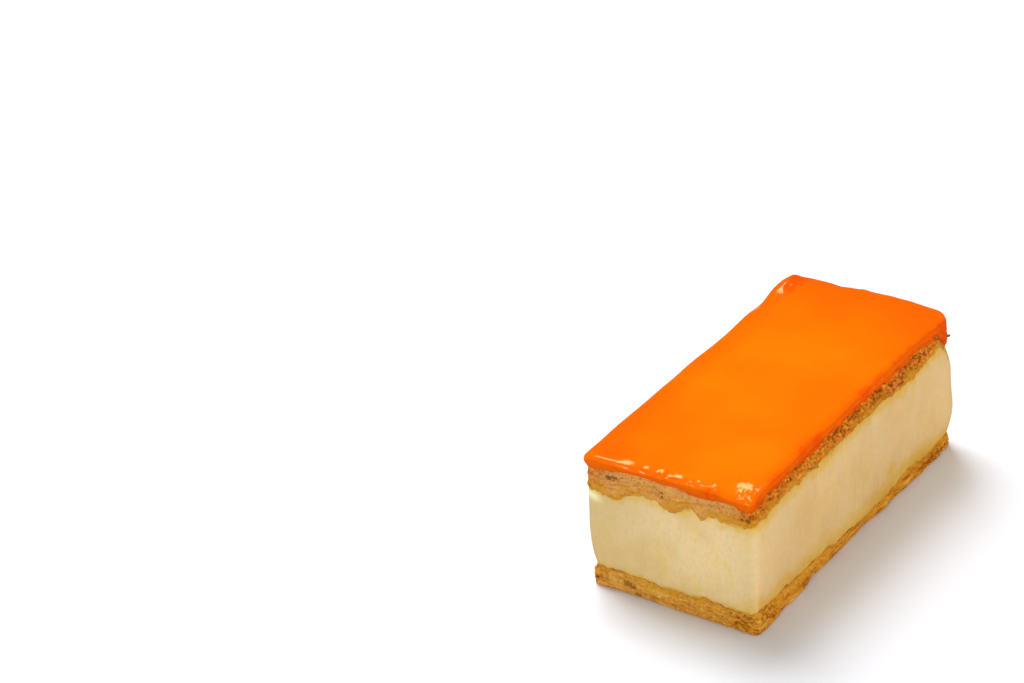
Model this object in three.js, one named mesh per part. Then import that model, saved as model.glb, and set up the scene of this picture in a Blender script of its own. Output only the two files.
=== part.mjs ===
// A tompouce: a block of set custard between two sheets of puff pastry, under a coat of orange icing.
// Millimetres. +X runs along the length, +Y across it and +Z is up. The front end faces -X.
// Every layer is a skin stretched over closed rings of points. Layers that touch share their rings.

import * as THREE from 'three';
import { ImprovedNoise } from 'three/addons/math/ImprovedNoise.js';

// Driving sizes
const LENGTH = 105;
const WIDTH = 47.5;
const BASE_THICKNESS = 5.2;
const CUSTARD_HEIGHT = 26.6;
const LID_THICKNESS = 6.6;
const ICING_THICKNESS = 1.7;

// How far each corner of a sheet is moved, and its radius in plan.
// The order is front right, back right, back left, front left, as seen from the front end.
const BASE_CORNER_SHIFTS = [[0, 0], [0.3, 0.2], [0, 0], [-0.6, 0.9]];
const BASE_CORNER_RADII = [1.8, 2.6, 2.4, 1.6];
const LID_CORNER_SHIFTS = [[0.2, 1.3], [1.4, 0.5], [-1.9, 0.1], [-0.9, 4.3]];
const LID_CORNER_RADII = [2, 5.2, 1.8, 2];

// The custard set higher along its right side, so the lid slopes down to the left, its top a bit less.
const LID_SLOPE = -0.055;
const LID_TOP_SLOPE = -0.041;
// Along its right side the lid is cut at a slant, set in by this much at the top.
const RIGHT_BEVEL = 2;

// How finely the outline is divided. FAN_STEPS of each long side belong to the fans at a slab's ends.
const LONG_STEPS = 42;
const SHORT_STEPS = 20;
const CORNER_STEPS = 5;
const FAN_STEPS = 4;

// How far in from its edge a joint between two layers evens out.
const JOINT_INSET = 5;

// How far in from the nominal outline each joint's edge lies.
const CUSTARD_FOOT_INSET = 0.9;
const CUSTARD_HEAD_INSET = 1;
const ICING_INSET = 0.8;
const DRIP_INSET = 0.5;

// The cut edge of a pastry sheet from its bottom to its top: a share of its thickness, how far the
// leaf there stands out, and how deep the gap between two leaves is where it gapes.
const SHEET_EDGE = [
  { share: 0.05, out: -0.15, gap: 0 },
  { share: 0.24, out: 0.15, gap: 0 },
  { share: 0.4, out: 0, gap: 0.75 },
  { share: 0.52, out: 0.25, gap: 0 },
  { share: 0.7, out: 0, gap: 0.6 },
  { share: 0.84, out: 0.1, gap: 0 },
];
const GAP_LENGTH = 13;

// The side of the custard: shares of the way up.
const CUSTARD_SHARES = [0.06, 0.2, 0.38, 0.58, 0.78, 0.92, 0.985];

// The outside of the icing: a share of the way up from the drip line, and how far it swells out there.
const ICING_EDGE = [[0.04, 0.4], [0.2, 0.75], [0.5, 0.95], [0.8, 0.75], [0.97, 0.2]];
const ICING_SHOULDER = -0.4;
const ICING_TOP_INSETS = [1.5, 4, 8, 14];

// Unevenness, as waves: how high each is and how long.
const OUTLINE_WAVES = [[0.5, 20]];
const BLISTERS = [[0.7, 9], [0.5, 4.2]];
const SOAKED_EDGE = [[0.6, 10], [0.5, 4.5]];
const FRAYED_LEAF = [[0.4, 6], [0.25, 3]];
const CUSTARD_DENTS = [[0.35, 14]];
const LID_WARP = [[0.4, 26]];
const ICING_RIPPLES = [[0.25, 18]];
const DRIP_WAVES = [[0.35, 8]];

// Marks of this one pastry. Each is on one face, centred at a place along it, with a width and a size.
const SQUASHED_BASE = { face: 'right', at: 8, width: 17, size: -2 };
const THICK_BASE_CORNER = { face: 'right', at: -50, width: 8, size: 0.9 };
const BASE_NOTCH = { face: 'front', at: 4.6, width: 2.4, size: -1.1 };
const BASE_UNDERCUT = { face: 'right', at: 2, width: 26, size: -1.1 };
const CUSTARD_OVERHANG = { face: 'right', at: 5, width: 24, size: 0.7 };
const LID_FRONT_SAG = { face: 'front', at: 20.5, width: 5, size: -2.3 };
const LID_FRONT_DROP = { face: 'front', at: 4, width: 2.4, size: -1.3 };
const LID_FRONT_RIGHT_SAG = { face: 'front', at: -16, width: 6, size: -1.1 };
const LID_SIDE_RISE = { face: 'right', at: -38, width: 14, size: 0.7 };
const STRAIGHT_LID_END = { face: 'right', at: 52, width: 9, size: 0.8 };
const ICING_RUN = { face: 'front', at: 22, width: 6, size: 0.7 };
const ICING_LAP = { face: 'front', at: -4, width: 4, size: 0.3 };
const ICING_NOTCH = { face: 'front', at: -10.2, width: 2, size: -0.6 };
const ICING_SHORT_END = { face: 'front', at: -22, width: 5, size: -0.5 };

// Marks that spread round a point: where it is, with a width and a size.
const THIN_BASE_CORNER = { x: 52, y: -23, width: 8, size: -1.2 };
const BULGING_CORNER = { x: 52, y: -23, width: 14, size: 1.3 };
const EDGE_DENT = { x: 34, y: 24, width: 5, size: -0.8 };
const DROOPING_CORNER = { x: 54, y: -22, width: 9, size: -0.6 };
const FOLDED_CORNER = { x: 46.5, y: 23.5, width: 3.2, size: 1.2 };

const COLOURS = { crust: 0xc28d47, custard: 0xe4cf92, icing: 0xfe7f00 };

const noise = new ImprovedNoise();
const { clamp, lerp } = THREE.MathUtils;

// A smooth random number from about -1 to 1, the same in every run. length is that of one wave.
function drift(x, y, z, length, seed) {
  return noise.noise(x / length + seed, y / length + 0.37 * seed, z / length + 0.71 * seed);
}

// The sum of a list of waves at a place.
function waves(list, { x, y }, seed, z = 0) {
  return list.reduce((sum, [height, length], i) => sum + height * drift(x, y, z, length, seed + 4.7 * i), 0);
}

// A smooth hump of height 1 at 0, which is about gone two widths away.
function hump(distance, width) {
  return Math.exp(-((distance / width) ** 2));
}

// How much a station belongs to each face of the pastry, from 0 to 1.
const towards = {
  front: ({ normal }) => Math.max(0, -normal.x),
  back: ({ normal }) => Math.max(0, normal.x),
  right: ({ normal }) => Math.max(0, -normal.y),
  left: ({ normal }) => Math.max(0, normal.y),
};

function mark({ face, at, width, size }, station, { x, y } = station.point) {
  const along = face === 'front' || face === 'back' ? y : x;
  return size * towards[face](station) * hump(along - at, width);
}

function spot({ x, y, width, size }, place) {
  return size * hump(Math.hypot(place.x - x, place.y - y), width);
}

// The points round a four-cornered outline with rounded corners, anticlockwise, with outward normals.
function outline(corners, radii) {
  const stations = [];
  const steps = [LONG_STEPS, SHORT_STEPS, LONG_STEPS, SHORT_STEPS];
  const pointAt = (arc, angle) => {
    const normal = new THREE.Vector2(Math.cos(angle), Math.sin(angle));
    return { point: arc.centre.clone().addScaledVector(normal, arc.radius), normal };
  };
  const arcs = corners.map((corner, i) => {
    const before = corners[(i + 3) % 4].clone().sub(corner).normalize();
    const after = corners[(i + 1) % 4].clone().sub(corner).normalize();
    const half = Math.acos(before.dot(after)) / 2;
    const bisector = before.clone().add(after).normalize();
    const centre = corner.clone().addScaledVector(bisector, radii[i] / Math.sin(half));
    const from = new THREE.Vector2(-before.y, before.x).angle();
    return { centre, radius: radii[i], from, turn: Math.PI - 2 * half };
  });
  arcs.forEach((arc, i) => {
    for (let k = 0; k <= CORNER_STEPS; k++) {
      stations.push({ ...pointAt(arc, arc.from + (arc.turn * k) / CORNER_STEPS), radius: arc.radius });
    }
    const next = arcs[(i + 1) % 4];
    const start = pointAt(arc, arc.from + arc.turn);
    const end = pointAt(next, next.from);
    for (let k = 1; k < steps[i]; k++) {
      const share = k / steps[i];
      stations.push({
        point: start.point.clone().lerp(end.point, share),
        normal: start.normal.clone().lerp(end.normal, share).normalize(),
        radius: Infinity,
      });
    }
  });
  return stations;
}

// How far a station really moves for a push: a corner gives way inwards ever less, because its arc
// would turn inside out if it went in by its whole radius.
function travel(station, push) {
  if (push > 0 || station.radius === Infinity) return push;
  return -station.radius * (1 - Math.exp(push / station.radius));
}

// A ring of points: each station moved out by push and set at height, both functions of the station.
function ring(stations, push, height) {
  return stations.map((station, i) => {
    const at = station.point.clone().addScaledVector(station.normal, travel(station, push(station)));
    return new THREE.Vector3(at.x, at.y, height(at, station, i));
  });
}

// A ring with each point at a share of the way up from the same point of one ring to that of another.
function ringBetween(stations, push, lower, upper, share) {
  return ring(stations, push, (at, station, i) => lerp(lower[i].z, upper[i].z, share));
}

// A ring drawn inwards by distance, towards the middle line of the slab.
function inset(points, distance, height) {
  const reach = (LENGTH - WIDTH) / 2;
  return points.map((p) => {
    const middle = new THREE.Vector2(clamp(p.x, -reach, reach), 0);
    const at = new THREE.Vector2(p.x, p.y).lerp(middle, distance / (WIDTH / 2));
    return new THREE.Vector3(at.x, at.y, height(at));
  });
}

// The rings of a joint, from its uneven edge inwards to an even floor.
function joint(edge, floor) {
  return [edge, inset(edge, JOINT_INSET, floor)];
}

// The shorter diagonal splits a four-sided face, so that both layers of a joint split it alike.
function addQuad(points, add, a, b, c, d) {
  if (points[a].distanceTo(points[c]) < points[b].distanceTo(points[d])) {
    add(a, b, c);
    add(a, c, d);
  } else {
    add(a, b, d);
    add(b, c, d);
  }
}

// The part of a skin that closes a ring: a row of points down its middle, joined to both long sides,
// with a fan round each end. The ring's points start at index first.
function addCap(points, faces, first, height, upwards) {
  const size = 4 * CORNER_STEPS + 2 * (LONG_STEPS + SHORT_STEPS);
  const at = (k) => first + ((k + size) % size);
  const rows = LONG_STEPS + 1 - 2 * FAN_STEPS;
  const rightStart = CORNER_STEPS + FAN_STEPS;
  const leftStart = -CORNER_STEPS - SHORT_STEPS - FAN_STEPS;
  const middle = Array.from({ length: rows }, (_, k) => {
    const p = points[at(rightStart + k)].clone().lerp(points[at(leftStart - k)], 0.5);
    return points.push(new THREE.Vector3(p.x, p.y, height(p))) - 1;
  });
  const add = (a, b, c) => faces.push(...(upwards ? [a, b, c] : [c, b, a]));
  for (let k = 0; k + 1 < rows; k++) {
    addQuad(points, add, at(rightStart + k), at(rightStart + k + 1), middle[k + 1], middle[k]);
    addQuad(points, add, middle[k], middle[k + 1], at(leftStart - k - 1), at(leftStart - k));
  }
  const endSteps = 2 * (CORNER_STEPS + FAN_STEPS) + SHORT_STEPS;
  for (let k = 0; k < endSteps; k++) {
    add(middle[0], at(leftStart + k), at(leftStart + k + 1));
    add(middle[rows - 1], at(rightStart + rows - 1 + k), at(rightStart + rows + k));
  }
}

// The closed surface over a list of rings, from the one that bounds its underside to the last on top.
// under and over give the heights of the underside and of the top between those rings.
function skin(rings, under, over) {
  const count = rings[0].length;
  const points = rings.flat();
  const faces = [];
  const add = (a, b, c) => faces.push(a, b, c);
  for (let r = 0; r + 1 < rings.length; r++) {
    for (let i = 0; i < count; i++) {
      const j = (i + 1) % count;
      addQuad(points, add, r * count + i, r * count + j, (r + 1) * count + j, (r + 1) * count + i);
    }
  }
  addCap(points, faces, 0, under, false);
  addCap(points, faces, (rings.length - 1) * count, over, true);
  const geometry = new THREE.BufferGeometry().setFromPoints(points);
  geometry.setIndex(faces);
  geometry.computeVertexNormals();
  return geometry;
}

// Plans of the two sheets
const boxCorners = [[-1, -1], [1, -1], [1, 1], [-1, 1]].map(([x, y]) => [(x * LENGTH) / 2, (y * WIDTH) / 2]);
const shifted = (shifts) => boxCorners.map(([x, y], i) => new THREE.Vector2(x + shifts[i][0], y + shifts[i][1]));
const basePlan = outline(shifted(BASE_CORNER_SHIFTS), BASE_CORNER_RADII);
const lidPlan = outline(shifted(LID_CORNER_SHIFTS), LID_CORNER_RADII);
const baseEdge = (station) => waves(OUTLINE_WAVES, station.point, 4.4);
const lidEdge = (station) => waves(OUTLINE_WAVES, station.point, 9.2);
const bevel = (station) => RIGHT_BEVEL * (towards.right(station) - mark(STRAIGHT_LID_END, station));

// Heights. At the sides the joints rise and fall with the blisters of the pastry.
const onFloor = () => 0;
const baseFloor = () => BASE_THICKNESS;
const lidFloor = ({ y }) => BASE_THICKNESS + CUSTARD_HEIGHT + LID_SLOPE * y;

function baseTop(at, station) {
  const marks = [SQUASHED_BASE, THICK_BASE_CORNER, BASE_NOTCH].map((m) => mark(m, station, at));
  return baseFloor() + waves(BLISTERS, at, 3.3) + spot(THIN_BASE_CORNER, at) + marks.reduce((a, b) => a + b);
}

function lidUnderside(at, station) {
  const sags = [LID_FRONT_SAG, LID_FRONT_DROP, LID_FRONT_RIGHT_SAG, LID_SIDE_RISE].map((m) => mark(m, station, at));
  return lidFloor(at) + waves(SOAKED_EDGE, at, 1.7) + sags.reduce((a, b) => a + b);
}

function lidTop(at) {
  const level = BASE_THICKNESS + CUSTARD_HEIGHT + LID_THICKNESS + LID_TOP_SLOPE * at.y;
  const spots = [FOLDED_CORNER, EDGE_DENT, DROOPING_CORNER].map((s) => spot(s, at));
  return level + waves(LID_WARP, at, 2.6) + spots.reduce((a, b) => a + b);
}

function icingTop(at) {
  return lidTop(at) + ICING_THICKNESS + waves(ICING_RIPPLES, at, 8.8);
}

// How far the icing hangs down over the side of the lid: most at the front, where it ran.
function drip(at, station) {
  const runs = [ICING_RUN, ICING_LAP, ICING_NOTCH, ICING_SHORT_END].map((m) => mark(m, station, at));
  const level = lerp(0.4, 0.75, towards.front(station));
  return level + waves(DRIP_WAVES, at, 1.2) + runs.reduce((a, b) => a + b);
}

// Edges of the joints
const custardFoot = ring(
  basePlan,
  (station) => baseEdge(station) - CUSTARD_FOOT_INSET + mark(CUSTARD_OVERHANG, station),
  baseTop,
);
const custardHead = ring(lidPlan, (station) => lidEdge(station) - CUSTARD_HEAD_INSET, lidUnderside);
const dripLine = ring(
  lidPlan,
  (station) => lidEdge(station) - DRIP_INSET - bevel(station),
  (at, station) => lidTop(at) - drip(at, station),
);
const lidRim = ring(lidPlan, (station) => lidEdge(station) - ICING_INSET - bevel(station), lidTop);
const baseJoint = joint(custardFoot, baseFloor);
const lidJoint = joint(custardHead, lidFloor);
const icingJoint = joint(lidRim, lidTop);

// The rings up the flaky cut edge of a sheet. push gives each ring its place before the flakes.
function sheetEdge(stations, push, lower, upper, seed) {
  return SHEET_EDGE.map(({ share, out, gap }) => {
    const leaf = (station) => {
      const frayed = waves(FRAYED_LEAF, station.point, seed, share * 40);
      const gape = clamp(0.6 + 1.2 * drift(station.point.x, station.point.y, 0, GAP_LENGTH, seed + share), 0, 1);
      return push(station, share) + out + frayed - gap * gape;
    };
    return ringBetween(stations, leaf, lower, upper, share);
  });
}

function basePastry() {
  const push = (station, share) => baseEdge(station) + (1 - share) * mark(BASE_UNDERCUT, station);
  const foot = ring(basePlan, (station) => push(station, 0) - 0.6, onFloor);
  return skin([foot, ...sheetEdge(basePlan, push, foot, custardFoot, 5.5), ...baseJoint], onFloor, baseFloor);
}

// The custard stands straight up from the base on the right, and leans out under the lid on the left.
function custardBlock() {
  const sides = CUSTARD_SHARES.map((share) => {
    const plan = basePlan.map((station, i) => {
      const lean = share ** (1 + 7 * towards.right(station) - 0.5 * towards.left(station));
      return {
        point: station.point.clone().lerp(lidPlan[i].point, lean),
        normal: station.normal.clone().lerp(lidPlan[i].normal, share).normalize(),
        radius: station.radius,
      };
    });
    const arch = 4 * share * (1 - share);
    const lowArch = 6.75 * share * (1 - share) ** 2;
    const swell = (station) => {
      const bulge = 0.4 + 0.6 * towards.left(station) + 0.4 * towards.back(station);
      const overhang = mark(CUSTARD_OVERHANG, station) * (1 - share) ** 2;
      const corner = lowArch * spot(BULGING_CORNER, station.point);
      return arch * bulge + corner + overhang + waves(CUSTARD_DENTS, station.point, 7.7, share * 20);
    };
    const push = (station) => baseEdge(station) - CUSTARD_FOOT_INSET + swell(station);
    return ringBetween(plan, push, custardFoot, custardHead, share);
  });
  return skin([...baseJoint.toReversed(), ...sides, ...lidJoint], baseFloor, lidFloor);
}

function lidPastry() {
  const push = (station, share) => lidEdge(station) - 0.3 - share * bevel(station);
  const sides = sheetEdge(lidPlan, push, custardHead, dripLine, 2.5);
  return skin([...lidJoint.toReversed(), ...sides, dripLine, ...icingJoint], lidFloor, lidTop);
}

function icingCoat() {
  const roll = (station) => 0.5 * towards.front(station) + mark(ICING_NOTCH, station) + 0.2 * towards.left(station);
  const reach = (station) => lidEdge(station) - ICING_INSET + roll(station) - bevel(station);
  const shoulder = ring(lidPlan, (station) => reach(station) + ICING_SHOULDER, icingTop);
  const outside = ICING_EDGE.map(([share, swell]) =>
    ringBetween(lidPlan, (station) => reach(station) + swell, dripLine, shoulder, share),
  );
  const top = ICING_TOP_INSETS.map((distance) => inset(shoulder, distance, icingTop));
  return skin([...icingJoint.toReversed(), dripLine, ...outside, ...top], lidTop, icingTop);
}

function piece(name, geometry, color, roughness) {
  const mesh = new THREE.Mesh(geometry, new THREE.MeshStandardMaterial({ color, roughness, metalness: 0 }));
  mesh.name = name;
  return mesh;
}

const tompouce = new THREE.Group();
tompouce.add(
  piece('base_pastry', basePastry(), COLOURS.crust, 0.8),
  piece('custard', custardBlock(), COLOURS.custard, 0.55),
  piece('lid_pastry', lidPastry(), COLOURS.crust, 0.8),
  piece('icing', icingCoat(), COLOURS.icing, 0.15),
);

// The origin is under the middle of the whole, on the surface that it stands on.
const middle = new THREE.Box3().setFromObject(tompouce).getCenter(new THREE.Vector3());
tompouce.position.set(-middle.x, -middle.y, 0);

export default tompouce;
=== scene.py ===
"""A tompouce: custard between two flaky sheets of puff pastry, under a coat of orange icing."""

import math
import random

import bpy
import numpy as np
from mathutils import Euler, Matrix, Vector, kdtree, noise
from mathutils.bvhtree import BVHTree


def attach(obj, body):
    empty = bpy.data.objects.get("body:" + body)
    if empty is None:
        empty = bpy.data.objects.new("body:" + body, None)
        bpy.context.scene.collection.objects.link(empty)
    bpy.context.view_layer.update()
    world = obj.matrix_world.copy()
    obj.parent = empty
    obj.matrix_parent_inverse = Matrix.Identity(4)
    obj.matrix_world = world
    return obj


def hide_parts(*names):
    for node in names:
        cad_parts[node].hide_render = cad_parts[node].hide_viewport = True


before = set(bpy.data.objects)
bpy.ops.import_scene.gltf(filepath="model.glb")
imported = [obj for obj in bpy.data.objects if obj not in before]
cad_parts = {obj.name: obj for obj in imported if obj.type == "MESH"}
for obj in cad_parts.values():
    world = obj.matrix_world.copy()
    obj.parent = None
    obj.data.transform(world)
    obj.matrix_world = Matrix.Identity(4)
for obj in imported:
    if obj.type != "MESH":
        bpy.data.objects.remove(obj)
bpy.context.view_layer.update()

MM = 0.001
# Millimetres too small to matter
TINY = 0.001
MERGE_DISTANCE = TINY * MM
LAYERS = ["base_pastry", "custard", "lid_pastry", "icing"]
# What a face lies on: nothing, the floor, or one of the layers in their order
SIDE, FLOOR = 0, -1
ON_BASE, ON_CUSTARD, ON_LID, ON_ICING = 1, 2, 3, 4
ROUNDING_LEVELS = 2

# The part of each sheet that every point of its edge faces away from
CORE_HALF_LENGTH = 44
CORE_HALF_WIDTH = 15
# How far a seed moves a random pattern along each axis
SEED_STEP = np.array([1, 0.37, 0.71])


# Picking, moving and finishing, as by hand


def only(*pieces):
    """Selects just these pieces, and makes the first the active one."""
    bpy.ops.object.select_all(action="DESELECT")
    for piece in pieces:
        piece.select_set(True)
    bpy.context.view_layer.objects.active = pieces[0]


def pick(piece, kind, flags):
    """Enters edit mode with just these vertices, edges or faces of a piece selected."""
    only(piece)
    bpy.ops.object.mode_set(mode="EDIT")
    bpy.ops.mesh.select_mode(type=kind)
    bpy.ops.mesh.select_all(action="DESELECT")
    bpy.ops.object.mode_set(mode="OBJECT")
    parts = {"VERT": piece.data.vertices, "EDGE": piece.data.edges, "FACE": piece.data.polygons}
    parts[kind].foreach_set("select", np.asarray(flags, bool))
    bpy.ops.object.mode_set(mode="EDIT")


def leave_edit():
    bpy.ops.object.mode_set(mode="OBJECT")


def finish_with(piece, kind, **settings):
    """Adds a modifier to a piece and applies it."""
    only(piece)
    modifier = piece.modifiers.new(kind.lower(), kind)
    for name, value in settings.items():
        setattr(modifier, name, value)
    bpy.ops.object.modifier_apply(modifier=modifier.name)


def places(piece):
    """The vertices of a piece in millimetres."""
    flat = np.zeros(len(piece.data.vertices) * 3)
    piece.data.vertices.foreach_get("co", flat)
    return flat.reshape(-1, 3) / MM


def put(piece, points):
    piece.data.vertices.foreach_set("co", (np.asarray(points) * MM).ravel())
    piece.data.update()


def keep_values(piece, name, values):
    """Stores one number for each vertex of a piece, for its material to read."""
    attribute = piece.data.attributes.new(name, "FLOAT", "POINT")
    attribute.data.foreach_set("value", np.asarray(values, np.float32))


def keep_side_values(piece, side, all_values):
    """Stores named numbers from 0 to 1 for the vertices of a piece's side, and 0 for the others."""
    for name, values in all_values.items():
        full = np.zeros(len(piece.data.vertices))
        full[side] = np.clip(values, 0, 1)
        keep_values(piece, name, full)


def smooth_step(low, high, value):
    """0 up to a low value, and from there smoothly up to 1 at a high one."""
    share = np.clip((value - low) / (high - low), 0, 1)
    return share * share * (3 - 2 * share)


def fading(low, high, value):
    """1 up to a low value, and from there smoothly down to 0 at a high one."""
    return 1 - smooth_step(low, high, value)


def drift(points, wave, seed):
    """Smooth random numbers from about -1 to 1 at points, for a wave length or one for each axis."""
    scaled = np.asarray(points) / np.asarray(wave) + seed * SEED_STEP
    return np.array([noise.noise(p) for p in scaled.tolist()])


def patterns(points, table, seed):
    """Random numbers at points for each named pattern in a table of waves and steps of the seed."""
    return {name: drift(points, wave, seed + step) for name, (wave, step) in table.items()}


def waves(points, table, seed, start):
    """Random waves on top of a start. A table gives their length, strength and step of the seed."""
    return sum((strength * drift(points, length, seed + step) for length, strength, step in table), start)


def outward(points):
    """The level direction that each point of a side faces."""
    core = points.copy()
    core[:, 0] = np.clip(points[:, 0], -CORE_HALF_LENGTH, CORE_HALF_LENGTH)
    core[:, 1] = np.clip(points[:, 1], -CORE_HALF_WIDTH, CORE_HALF_WIDTH)
    away = points - core
    away[:, 2] = 0
    return away / np.maximum(np.linalg.norm(away, axis=1), TINY)[:, None]


# The four layers. Each starts as a merged copy of its solid, whose triangles become four-sided faces.


def copy_layer(node, name):
    """A merged copy of a layer's solid, with four-sided faces and sharp borders."""
    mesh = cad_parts[node].data.copy()
    mesh.materials.clear()
    piece = bpy.data.objects.new(name, mesh)
    bpy.context.scene.collection.objects.link(piece)
    only(piece)
    bpy.ops.object.mode_set(mode="EDIT")
    bpy.ops.mesh.select_all(action="SELECT")
    bpy.ops.mesh.remove_doubles(threshold=MERGE_DISTANCE)
    leave_edit()
    bpy.ops.mesh.customdata_custom_splitnormals_clear()
    mark_seats(piece, node)
    pick(piece, "EDGE", border_edges(piece))
    bpy.ops.mesh.mark_sharp()
    bpy.ops.transform.edge_crease(value=1)
    bpy.ops.mesh.select_all(action="SELECT")
    bpy.ops.mesh.tris_convert_to_quads(face_threshold=math.pi, shape_threshold=math.pi, sharp=True)
    leave_edit()
    return piece


def on_layer(piece, node):
    """Which vertices of a piece lie on those of a layer's solid."""
    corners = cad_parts[node].data.vertices
    tree = kdtree.KDTree(len(corners))
    for corner in corners:
        tree.insert(corner.co, corner.index)
    tree.balance()
    return np.array([tree.find(v.co)[2] < MERGE_DISTANCE for v in piece.data.vertices])


def mark_seats(piece, node):
    """Stores for each face what it lies on: another layer, the floor or, for the sides, nothing."""
    seats = np.full(len(piece.data.polygons), SIDE)
    shared = {n: on_layer(piece, other) for n, other in enumerate(LAYERS, 1) if other != node}
    shared[FLOOR] = places(piece)[:, 2] < TINY
    for face in piece.data.polygons:
        for seat, flags in shared.items():
            if flags[list(face.vertices)].all():
                seats[face.index] = seat
    piece.data.attributes.new("seat", "INT", "FACE").data.foreach_set("value", seats)


def seats_of(piece):
    seats = np.zeros(len(piece.data.polygons), np.int32)
    piece.data.attributes["seat"].data.foreach_get("value", seats)
    return seats


def border_edges(piece):
    """Which edges part two faces with different seats."""
    seats = seats_of(piece)
    beside = {}
    for face in piece.data.polygons:
        for key in face.edge_keys:
            beside.setdefault(key, set()).add(seats[face.index])
    return [len(beside[edge.key]) > 1 for edge in piece.data.edges]


def vertices_of_seat(piece, seat):
    flags = np.zeros(len(piece.data.vertices), bool)
    for face, its_seat in zip(piece.data.polygons, seats_of(piece)):
        if its_seat == seat:
            flags[list(face.vertices)] = True
    return flags


def divide(piece, faces, cuts):
    pick(piece, "FACE", faces)
    bpy.ops.mesh.subdivide(number_cuts=cuts)
    leave_edit()


def nearest_border(piece, points, seat):
    """The distance in plan from points to a side's border with a seat, and the border's height there."""
    border = places(piece)[vertices_of_seat(piece, SIDE) & vertices_of_seat(piece, seat)]
    tree = kdtree.KDTree(len(border))
    for i, (x, y, _) in enumerate(border):
        tree.insert((x, y, 0), i)
    tree.balance()
    found = [tree.find((x, y, 0)) for x, y, _ in points.tolist()]
    return np.array([gap for _, _, gap in found]), np.array([border[i, 2] for _, i, _ in found])


def side_of(piece, below, above):
    """The vertices of a side, their places, and the heights of its lower and upper border there."""
    side = np.flatnonzero(vertices_of_seat(piece, SIDE))
    at = places(piece)[side]
    low, high = (nearest_border(piece, at, seat)[1] for seat in (below, above))
    return side, at, low, high


def share_between(at, low, high):
    """How far up points are between two heights, from 0 to 1."""
    return np.clip((at[:, 2] - low) / (high - low), 0, 1)


def layer(node, name, extra_cuts):
    """A copy of a layer, rounded off between its borders and with its sides cut some more."""
    piece = copy_layer(node, name)
    finish_with(piece, "SUBSURF", levels=ROUNDING_LEVELS, render_levels=ROUNDING_LEVELS)
    if extra_cuts:
        divide(piece, seats_of(piece) == SIDE, extra_cuts)
    bpy.ops.object.shade_smooth()
    return piece


def skin_of(piece):
    """The surface of a piece, to measure from."""
    return BVHTree.FromObject(piece, bpy.context.evaluated_depsgraph_get())


# How much a point's side faces each way


def to_right(points):
    return np.clip(-outward(points)[:, 1], 0, 1)


def to_front(points):
    return np.clip(-outward(points)[:, 0], 0, 1)


def to_left(points):
    return np.clip(outward(points)[:, 1], 0, 1)


def hump(distance, width):
    """1 at no distance, and about 0 two widths away."""
    return np.exp(-((distance / width) ** 2))


def near(points, x, y, width):
    """1 at a place in plan, and about 0 two widths away from it."""
    return hump(np.hypot(points[:, 0] - x, points[:, 1] - y), width)


def total_near(points, table):
    """What a table of places, each with x, y, width and size, adds up to at points."""
    return sum(size * near(points, x, y, width) for x, y, width, size in table)


# Where the seams between the layers run higher or lower than in the solids: x, y, width and rise
LID_SEAM = (
    (27, -25, 8, -1.1),
    (-2, -25, 12, 1.0),
    (-21, -25, 9, 1.3),
    (-20, -25, 4, -1.1),
    (50.5, -23.5, 2.5, -3.2),
)
BASE_SEAM = (
    (39.5, -25, 11, -2.75),
    (14, -25, 8, -0.7),
    (22.5, -25, 4.5, -1.1),
)


def shift_seams(piece, below, below_table, above, above_table):
    """Moves the lower and the upper border of a side up or down, and what lies between with them."""
    side, at, low, high = side_of(piece, below, above)
    share = share_between(at, low, high)
    points = places(piece)
    points[side, 2] += (1 - share) * total_near(at, below_table) + share * total_near(at, above_table)
    put(piece, points)


# Custard

# The upright corners of the custard: x, y, width and steps of smoothing
CUSTARD_CORNERS = ((-52.5, -25, 9, 500), (-52.5, 25, 5, 60), (52.5, -25, 5, 60), (52.5, 25, 5, 60))
# The share of a corner's width that is smoothed in full, and within how far of the borders that fades
CORNER_CORE = 0.4
CORNER_FADE = 2.5

# Random patterns in the sides of the custard: wave in millimetres along x, y and z, and seed
CUSTARD_PATTERNS = {
    "streak": ((1.1, 1.1, 14), 2.2),
    "dent": ((7, 7, 9), 4.4),
    "pit": (1.6, 6.6),
    "ragged": ((3, 3, 2), 12.5),
    "fine": ((1.1, 1.1, 1), 13.5),
    "wide": ((9, 9, 6), 15.5),
}
STREAK_DEPTH = 0.03
DENT_DEPTH = 0.16
PIT_DEPTH = 0.1
RELIEF_FADE = 1.2
# Where the side swells or draws in: x, y, width, height over the base, width upwards, and swelling
BELLY_OVER_BASE = ((52, -22, 8, 8, 8, 0.9), (50, -24, 6, 14, 4, -0.3))
# The same, with the height measured down from the lid
BELLY_UNDER_LID = ((52, -24, 6, 4, 4, 0.5),)
# A yellow patch low on the right: x, width, reach upwards and strength
LOW_PATCH = (18, 17, 9, 0.62)
# A yellow spot on the right: x, width, height over the base, width upwards and strength
SPOT = (20.4, 3, 7, 2, 0.6)
# The foot of the left front corner: x, y, width, reach upwards and strength
LEFT_FOOT = (-53, 23, 3, 5, 0.45)
# A gleam painted under the lid at the left front corner: x, y, width, distance from the lid, and its width
GLEAM = (-52.5, 23.5, 2.2, 2.6, 1.3)


def round_corners(piece):
    """Smooths the upright corners of the custard between its two borders."""
    side, at, low, high = side_of(piece, ON_BASE, ON_LID)
    inside = smooth_step(0, CORNER_FADE, np.minimum(at[:, 2] - low, high - at[:, 2]))
    for x, y, width, steps in CUSTARD_CORNERS:
        from_corner = np.hypot(at[:, 0] - x, at[:, 1] - y)
        weights = fading(CORNER_CORE * width, width, from_corner) * inside
        group = piece.vertex_groups.new(name="corner")
        for index, weight in zip(side.tolist(), weights.tolist()):
            group.add([index], weight, "REPLACE")
        finish_with(piece, "SMOOTH", factor=0.5, iterations=steps, vertex_group=group.name)


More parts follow.
